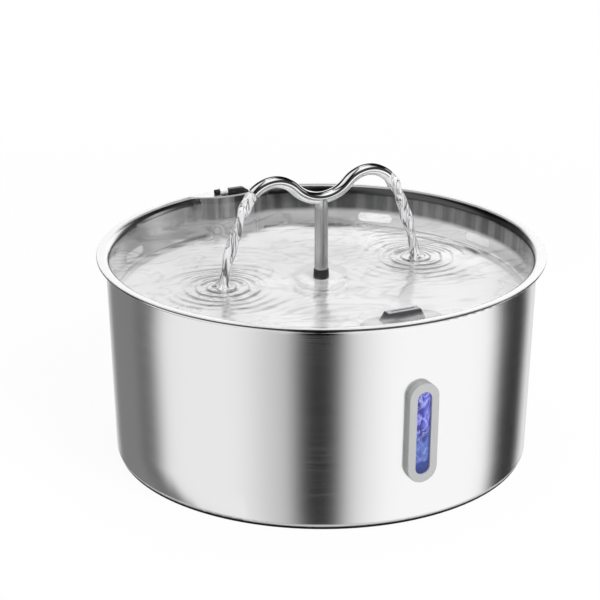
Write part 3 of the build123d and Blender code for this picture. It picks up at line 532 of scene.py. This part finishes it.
# %% [markdown]
# The grip on the filter is moulded dark, and its top is painted pale: a painted
# highlight where light from above falls. The slit across the top stays dark, because it lies below
# that face.

# %% Filter grip
grip = Finish("dark_plastic", (0.10, 0.10, 0.105))
highlight_from, highlight_to = 90.9, 91.15
# painted highlight: the top face is painted pale
painted_top_highlight = grip.axis("Z").step(highlight_from, highlight_to) * (0.8 + 0.2 * grip.noise(2.5))
grip.link("Base Color", grip.mix(painted_top_highlight, (0.055, 0.055, 0.058), (0.40, 0.40, 0.41)))
grip.link("Roughness", 0.34 + grip.noise(1.2) * 0.12)
grip.bump(grip.noise(0.4), 0.012, 0.6)
grip.on("filter_grip")

# %% [markdown]
# ## Inside the pump and the filter
#
# These pieces are only seen when the fountain is taken apart. Carbon is a block of
# sharp granules; foam and sponge are cut from open-celled blocks; the winding is
# fine enamelled wire laid in even turns; the core is a stack of thin stamped sheets.
# The magnet is pressed powder, and the board is green lacquer over copper tracks.

# %% Granules, cells, wire and sheets
carbon = Finish("carbon", (0.05, 0.05, 0.052))
granule = carbon.cells(1.4)
carbon.shade(granule, 0.5, 1.6)
carbon.link("Roughness", 0.45 + granule * 0.4)
carbon.bump(granule, 0.5)
carbon.on("carbon_core")

for name, colour, pore, node in (
    ("foam", (0.75, 0.75, 0.72), 0.8, "filter_foam"),
    ("sponge_black", (0.05, 0.05, 0.05), 1.0, "intake_sponge"),
):
    foam = Finish(name, colour, Roughness=0.95)
    hollow = foam.cells(pore)
    # painted shade: the pores are painted darker where the relief is low
    foam.shade(hollow, 1.1, 0.5)
    foam.bump(1 - hollow, 0.4)
    foam.on(node)

wire_pitch = 0.5
copper = Finish("copper", (0.72, 0.36, 0.18), Metallic=1.0, Coat_Weight=0.5)
turns = (copper.axis("X") * (math.pi / wire_pitch)).sine().size()
# painted shade between the turns of wire, where the relief is low
copper.shade(turns, 0.45, 1.1)
copper.link("Roughness", 0.25 + copper.noise(3) * 0.2)
copper.bump(turns, 0.15)
copper.on("stator_coil")

sheet_pitch = 0.5
lamination = Finish("lamination", (0.36, 0.36, 0.37), Metallic=1.0)
sheets = (lamination.axis("Z") * (math.pi / sheet_pitch)).sine().size()
lamination.shade(sheets.step(0, 0.5), 0.4, 1.1)
lamination.link("Roughness", 0.35 + lamination.noise(2) * 0.25)
lamination.bump(sheets.step(0, 0.4), 0.05)
lamination.on("stator_core")

magnet = Finish("magnet_black", (0.08, 0.08, 0.082), Metallic=0.4)
sinter = magnet.noise(0.3, 4)
magnet.shade(sinter, 0.6, 1.5)
magnet.link("Roughness", 0.4 + sinter * 0.3)
magnet.bump(sinter, 0.03)
magnet.on("rotor_magnet")

board = Finish("board_green", (0.03, 0.20, 0.09))
tracks = board.cells(2.2, "DISTANCE_TO_EDGE").step(0.04, 0.10)
chips = board.axis("X").step(16.9, 17.1)
green = board.mix(tracks, (0.06, 0.34, 0.15), (0.03, 0.18, 0.08))
board.link("Base Color", board.mix(chips, green, (0.02, 0.02, 0.022)))
board.link("Roughness", 0.3 + tracks * 0.2)
board.on("driver_board")

# %% [markdown]
# ## The water-level window
#
# The window's plug is moulded clear, like a light guide. A blue lamp in the pump
# lights the water behind it, and the plug fills with that light: violet with pale
# streaks where bubbles gather it near the top, calm deep blue lower down, and
# darker along its foot and one side, where the frame shades it. The glow is an
# emission that varies over the plug; a clear coat on top keeps it glossy.

# %% Lit plug and lamp
window_z = 46.3
lens = Finish("lens_clear", (0.02, 0.03, 0.10), Roughness=0.3,
              Specular_IOR_Level=0.2, Coat_Weight=0.15)
above = lens.axis("Z") - window_z
sideways = lens.axis("X")
cloud = lens.noise(6, 3, (1, 1, 0.7), 1.2)
calm_blue = lens.mix(cloud.step(0.42, 0.60), (0.030, 0.055, 0.27), (0.125, 0.180, 0.50))
violet = lens.mix(cloud.step(0.40, 0.62), (0.028, 0.026, 0.20), (0.155, 0.150, 0.68))
lit = lens.mix(above.step(-6, 4), calm_blue, violet)
bubbles = lens.noise(5.5, 1, (1, 1, 0.7), 2.4)
pale_streaks = bubbles.line(0.5, 0.07) * above.step(-5, 3)
pale_streaks = pale_streaks + bubbles.line(0.42, 0.05) * above.step(-24, -10) * 0.55
lit = lens.mix((pale_streaks * 0.85).lower(0.9), lit, (0.50, 0.50, 0.93))
shadow = 0.8 * (1 - above.step(-20, -13)) + 0.7 * sideways.step(2.2, 3.7)
lit = lens.mix(shadow.lower(0.9), lit, (0.012, 0.020, 0.10))
lens.link("Emission Color", lit)
lens.shader.inputs["Emission Strength"].default_value = 0.85
lens.bump(cloud, 0.05, 0.3)
lens.on("window_lens")

lamp_clear = Finish("lamp_clear", (0.75, 0.82, 1.0), IOR=1.46, Transmission_Weight=0.6)
lamp_clear.link("Roughness", 0.05 + lamp_clear.noise(1) * 0.1)
lamp_light = lamp_clear.mix(lamp_clear.noise(2), (0.1, 0.2, 0.9), (0.3, 0.4, 1.0))
lamp_clear.link("Emission Color", lamp_light)
lamp_clear.shader.inputs["Emission Strength"].default_value = 1.5
lamp_clear.on("window_lamp")

# %% [markdown]
# ## Water in the tray
#
# The water is one sheet where it meets the air. Two jets land on it, and rings run
# out from each landing and fade. The height of a point is worked out by one
# function, which both halves of the sheet use, so they meet without a step. The
# middle turns with the spout, because the rings are where the jets land.

# %% The shape of the water
water_z = 0.0900
landing = 0.053
ring_length = 0.0058
ring_height = 0.00044
ring_reach = 0.017
ring_onset = 0.005
ring_wobble, wobbles_per_m = 0.0009, 90
mound_height = 0.0011
mound_r = 0.0032
broad_swell, broad_per_m = 0.0005, 38
small_swell, small_per_m = 0.00008, 110
seam_r = 0.0850
seam_calm = 0.006
middle_hole_r = 0.0037
wall_r = 0.1031
recess_y = 0.0978
recess_ends = (-0.0115, 0.0)
recess_angles = (math.radians(21.0), math.radians(13.5))


def rings(x, y):
    """Height of the rings and the mound round the two landings."""
    total = 0.0
    for side in (-1, 1):
        place = Vector((x * wobbles_per_m, y * wobbles_per_m, side))
        wobble = ring_wobble * noise.noise(place)
        away = math.hypot(x - side * landing, y) + wobble
        fade = math.exp(-away / ring_reach) * (1 - math.exp(-away / ring_onset))
        total += ring_height * fade * math.cos(2 * math.pi * away / ring_length)
        total += mound_height * math.exp(-((away / mound_r) ** 2))
    return total


def swell(x, y):
    """Low irregular waves all over the tray."""
    broad = noise.noise(Vector((x * broad_per_m, y * broad_per_m, 0.3)))
    small = noise.noise(Vector((x * small_per_m, y * small_per_m, 4.7)))
    return broad_swell * broad + small_swell * small


def water_height(x, y):
    """Height of the water's surface; the swell is low where the two halves meet."""
    from_seam = min(1.0, abs(math.hypot(x, y) - seam_r) / seam_calm)
    return water_z + rings(x, y) + swell(x, y) * (0.25 + 0.75 * from_seam)


def tray_edge(angle):
    """Radius where the water meets the tray's wall, with the cable recess at the back."""
    rise = math.sin(angle)
    if rise < 0.5:
        return wall_r
    flat = recess_y / rise
    lines = [flat]
    for end, slope, side in zip(recess_ends, recess_angles, (1, -1)):
        out = (side * math.sin(slope), math.cos(slope))
        offset = end * out[0] + recess_y * out[1]
        facing = math.cos(angle) * out[0] + rise * out[1]
        lines.append(offset / facing if facing > 0.1 else wall_r)
    return min(wall_r, max(lines))


def sheet_of_water(name, inner_r, outer_at, ring_step, spokes=512):
    """A flat ring of water as a grid of rings and spokes; outer_at gives its edge at an angle."""
    rows = max(2, round((outer_at(0) - inner_r) / ring_step))
    points, faces = [], []
    for i in range(rows + 1):
        for k in range(spokes):
            angle = 2 * math.pi * k / spokes
            r = inner_r + (outer_at(angle) - inner_r) * i / rows
            x, y = r * math.cos(angle), r * math.sin(angle)
            points.append((x, y, water_height(x, y)))
    for i in range(rows):
        for k in range(spokes):
            a, b = i * spokes + k, i * spokes + (k + 1) % spokes
            faces.append((a, a + spokes, b + spokes, b))
    return mesh_of(name, points, faces, water)


crest = water_height(landing, 0) - water_z
print("the water stands", round(1000 * crest, 2), "mm higher where a jet lands")

# %% [markdown]
# Shallow water does two things: it mirrors some of the room and lets the rest straight
# through to the steel. So its shader is a mirror with an alpha: the mirror's
# share grows toward a grazing view, as it does on any water, and thin lines are added
# where the rings are steepest and where slow currents fold, because those slopes
# show a darker part of the room. Over the filter, the middle and the far wall the
# mirror is thinned out, so that they are seen through the water. The share is the
# same from above and from below, so light gets back out.

# %% The water's finish
water = Finish("water", (1.0, 1.0, 1.0), Metallic=1.0)
x, y = water.axis("X"), water.axis("Y")
from_landing = ((x.size() - 1000 * landing).power(2) + y.power(2)).power(0.5)
wander = (water.noise(11, 2) - 0.5) * 4
crests = ((from_landing + wander) * (2 * math.pi / (1000 * ring_length))).sine()
near_landing = 1 - from_landing.step(8, 30)
ring_lines = crests.step(0.72, 0.97) * near_landing
currents = water.noise(26, 2, (0.6, 1, 1), 1.2)
chop = water.noise(14, 1, (0.6, 1, 1), 0.6)
fold_lines = currents.line(0.50, 0.05).higher(currents.line(0.62, 0.03)) * 0.5
lines = ring_lines.higher(fold_lines) * (0.45 + 0.9 * water.noise(6))

filter_x, filter_y, filter_long, filter_wide = 10.0, -66.5, 21.0, 9.0
along_filter = ((x - filter_x) / filter_long).power(2)
across_filter = ((y - filter_y) / filter_wide).power(2)
over_filter = 1 - (along_filter + across_filter).power(0.5).step(0.6, 1.1)
over_bush = 1 - water.from_axis().step(12, 14)
over_far_wall = backward_of(water).step(55, 85)
clear = (0.6 * over_far_wall).higher(0.9 * over_filter).higher(0.6 * over_bush)

facing = water.value("ShaderNodeLayerWeight", None, [0.5], "Facing")
mirrored = (0.32 + facing.power(5) * 0.50) * (1 - clear)
water.link("Roughness", 0.10 + 0.12 * currents)
water.link("Alpha", (mirrored + lines * 0.40 * (1 - 0.7 * clear)).lower(0.95))
water.link("Base Color", water.mix(lines, (1.0, 1.0, 1.0), (0.40, 0.40, 0.41)))
water.bump(crests * near_landing * 0.3 + chop * 1.2 + currents, 0.5, 0.6)
print("the water's finish has", len(water.tree.nodes), "nodes")

# %% [markdown]
# The sheet is made as two rings of points, because the inner one turns with the spout
# and the outer one stays with the tray. A grid of circles and spokes fits a round
# tray, and its last circle can follow the wall into the cable recess.

# %% The two sheets of water
middle_water = sheet_of_water("middle_water", middle_hole_r, lambda angle: seam_r, 0.0007)
outer_water = sheet_of_water("outer_water", seam_r, tray_edge, 0.0010)
for piece, body in ((middle_water, "spout_sleeve"), (outer_water, "tray")):
    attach(piece, body)
print("water level", water_z, "m")

# %% [markdown]
# ## The two jets
#
# Water leaves each open end of the spout along the tube and falls in an arc. The
# bend in the tube makes the jet spin, so two strands wind round each other like a
# braid. Each jet follows a real fall: it leaves downward at 45 degrees, at the
# speed that makes it land 53 mm from the middle.

# %% The fall
gravity = 9.81
mouth_x = 0.0360
mouth_z = 0.1350
reach_out = landing - mouth_x
fall_time = math.sqrt(2 * (mouth_z - water_z - reach_out) / gravity)
jet_speed = reach_out / fall_time
inside_tube = 0.03
below_water = 0.01
print("jets fall for", round(fall_time, 3), "s at", round(jet_speed, 3), "m/s")

# %% [markdown]
# A jet is made as a tube of points round the curve of the fall. Its section has two
# lobes, and the lobes turn as it falls: that is the braid. A curve with a profile
# would be quicker, but its section can't change on the way.

# %% The shape of a jet
jet_steps = 96
jet_around = 28
jet_r = 0.00265
jet_turns = 1.15
lobe_depth = 0.17
roughness_depth = 0.05
pulse_depth, pulses = 0.08, 4.5
flare, flare_from = 0.9, 0.955


def jet_width(s, side):
    """Radius at share s of the fall: narrow at the mouth, pulsing, flared where it lands."""
    width = jet_r * (0.80 + 0.20 * min(1, s / 0.08)) * (1.06 - 0.12 * s)
    width *= 1 + pulse_depth * math.sin(2 * math.pi * (pulses * s + 0.2 * side))
    return width * (1 + flare * max(0, (s - flare_from) / (1 - flare_from)) ** 2)


def jet(name, side):
    """One jet: rings of points along the fall, two-lobed and twisting."""
    points, faces = [], []
    level = Vector((0, 1, 0))
    for i in range(jet_steps + 1):
        s = i / jet_steps
        t = fall_time * (s * (1 + inside_tube + below_water) - inside_tube)
        out = jet_speed * t
        centre = Vector((side * (mouth_x + out), 0, mouth_z - out - gravity / 2 * t * t))
        heading = Vector((side * jet_speed, 0, -jet_speed - gravity * t)).normalized()
        third = heading.cross(level)
        width = jet_width(s, side)
        twist = side * 2 * math.pi * jet_turns * s + 0.6
        grown = min(1, s / 0.10)
        for k in range(jet_around):
            angle = 2 * math.pi * k / jet_around
            cos, sin = math.cos(angle), math.sin(angle)
            rough = noise.noise(Vector((cos * 1.3, sin * 1.3 + 5 * side, s * 16)))
            lobe = lobe_depth * math.cos(2 * (angle - twist))
            r = width * (1 + grown * (lobe + roughness_depth * rough))
            points.append(centre + level * (r * cos) + third * (r * sin))
    for i in range(jet_steps):
        for k in range(jet_around):
            a, b = i * jet_around + k, i * jet_around + (k + 1) % jet_around
            faces.append((a, b, b + jet_around, a + jet_around))
    faces.append(tuple(reversed(range(jet_around))))
    faces.append(tuple(range(jet_steps * jet_around, (jet_steps + 1) * jet_around)))
    return mesh_of(name, points, faces, falling)


print("jet widths", [round(2000 * jet_width(s, 1), 1) for s in (0, 0.5, 1)], "mm")

# %% [markdown]
# Falling water bends the room into a pale middle with ink-dark lines: at its edges and
# where its strands meet. The finish is that picture, painted with long noise and the
# edge's angle, under a clear coat.

# %% The jets' finish, and the jets
falling = Finish("falling_water", (0.95, 0.95, 0.96), Coat_Weight=1.0, Coat_Roughness=0.03)
strand = falling.noise(2.6, 1, (1, 1, 0.11), 0.8)
seams = strand.line(0.50, 0.07).higher(strand.line(0.63, 0.04) * 0.7)
facing = falling.value("ShaderNodeLayerWeight", None, [0.5], "Facing")
edge = facing.step(0.58, 0.84)
ink = (seams * 0.95).higher(edge * 0.95)
falling.link("Alpha", (0.90 + 0.2 * ink + 0.3 * (strand - 0.5)).lower(1.0))
colour = falling.mix(ink, (0.80, 0.80, 0.81), (0.06, 0.06, 0.065))
falling.link("Base Color", colour)
# painted light: the jets' colour also glows as an emission, so they read bright
falling.link("Emission Color", colour)
falling.shader.inputs["Emission Strength"].default_value = 0.2
falling.link("Roughness", 0.08 + strand * 0.12)
falling.bump(strand, 0.3, 0.6)
for name, side in (("left_jet", -1), ("right_jet", 1)):
    piece = jet(name, side)
    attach(piece, "spout")
    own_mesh(piece)
    print(name, "has", len(piece.data.vertices), "points")

# %% [markdown]
# ## Water in the overflow slots
#
# The tray's level is set by slots in its wall: whatever the jets bring runs out
# through them, back into the basin. Each slot is filled by a thin film of water, which glows pale
# grey as painted light.

# %% Films in the slots
slot_bearings = [math.radians(90 + side * turn) for turn in (42.3, 78.5) for side in (-1, 1)]
slot_z = 0.0857
film_r = 0.1030
film_half_length = 0.0070
film_half_height = 0.0024
film_points = 40
points, faces = [], []
for bearing in slot_bearings:
    first = len(points)
    for k in range(film_points):
        angle = 2 * math.pi * (k + 0.5) / film_points
        along_slot = math.copysign(film_half_length, math.cos(angle))
        along_slot += film_half_height * math.cos(angle)
        turn = bearing + along_slot / film_r
        z = slot_z + film_half_height * math.sin(angle)
        points.append((film_r * math.cos(turn), film_r * math.sin(turn), z))
    faces.append(tuple(range(first, first + film_points)))
film = Finish("overflow_film", (0.75, 0.75, 0.75), Roughness=0.3)
mottle = film.noise(8, 1)
film.shade(mottle, 0.9, 1.1)
# painted light: the film glows pale grey
film.link("Emission Color", film.mix(mottle, (0.28, 0.28, 0.28), (0.38, 0.38, 0.38)))
film.shader.inputs["Emission Strength"].default_value = 1.0
overflow = mesh_of("overflow", points, faces, film, smooth=False)
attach(overflow, "tray")
print("films in", len(slot_bearings), "slots")

# %% [markdown] The water lies inside the fountain, so all that is seen
# should be exactly as big as the packed model.
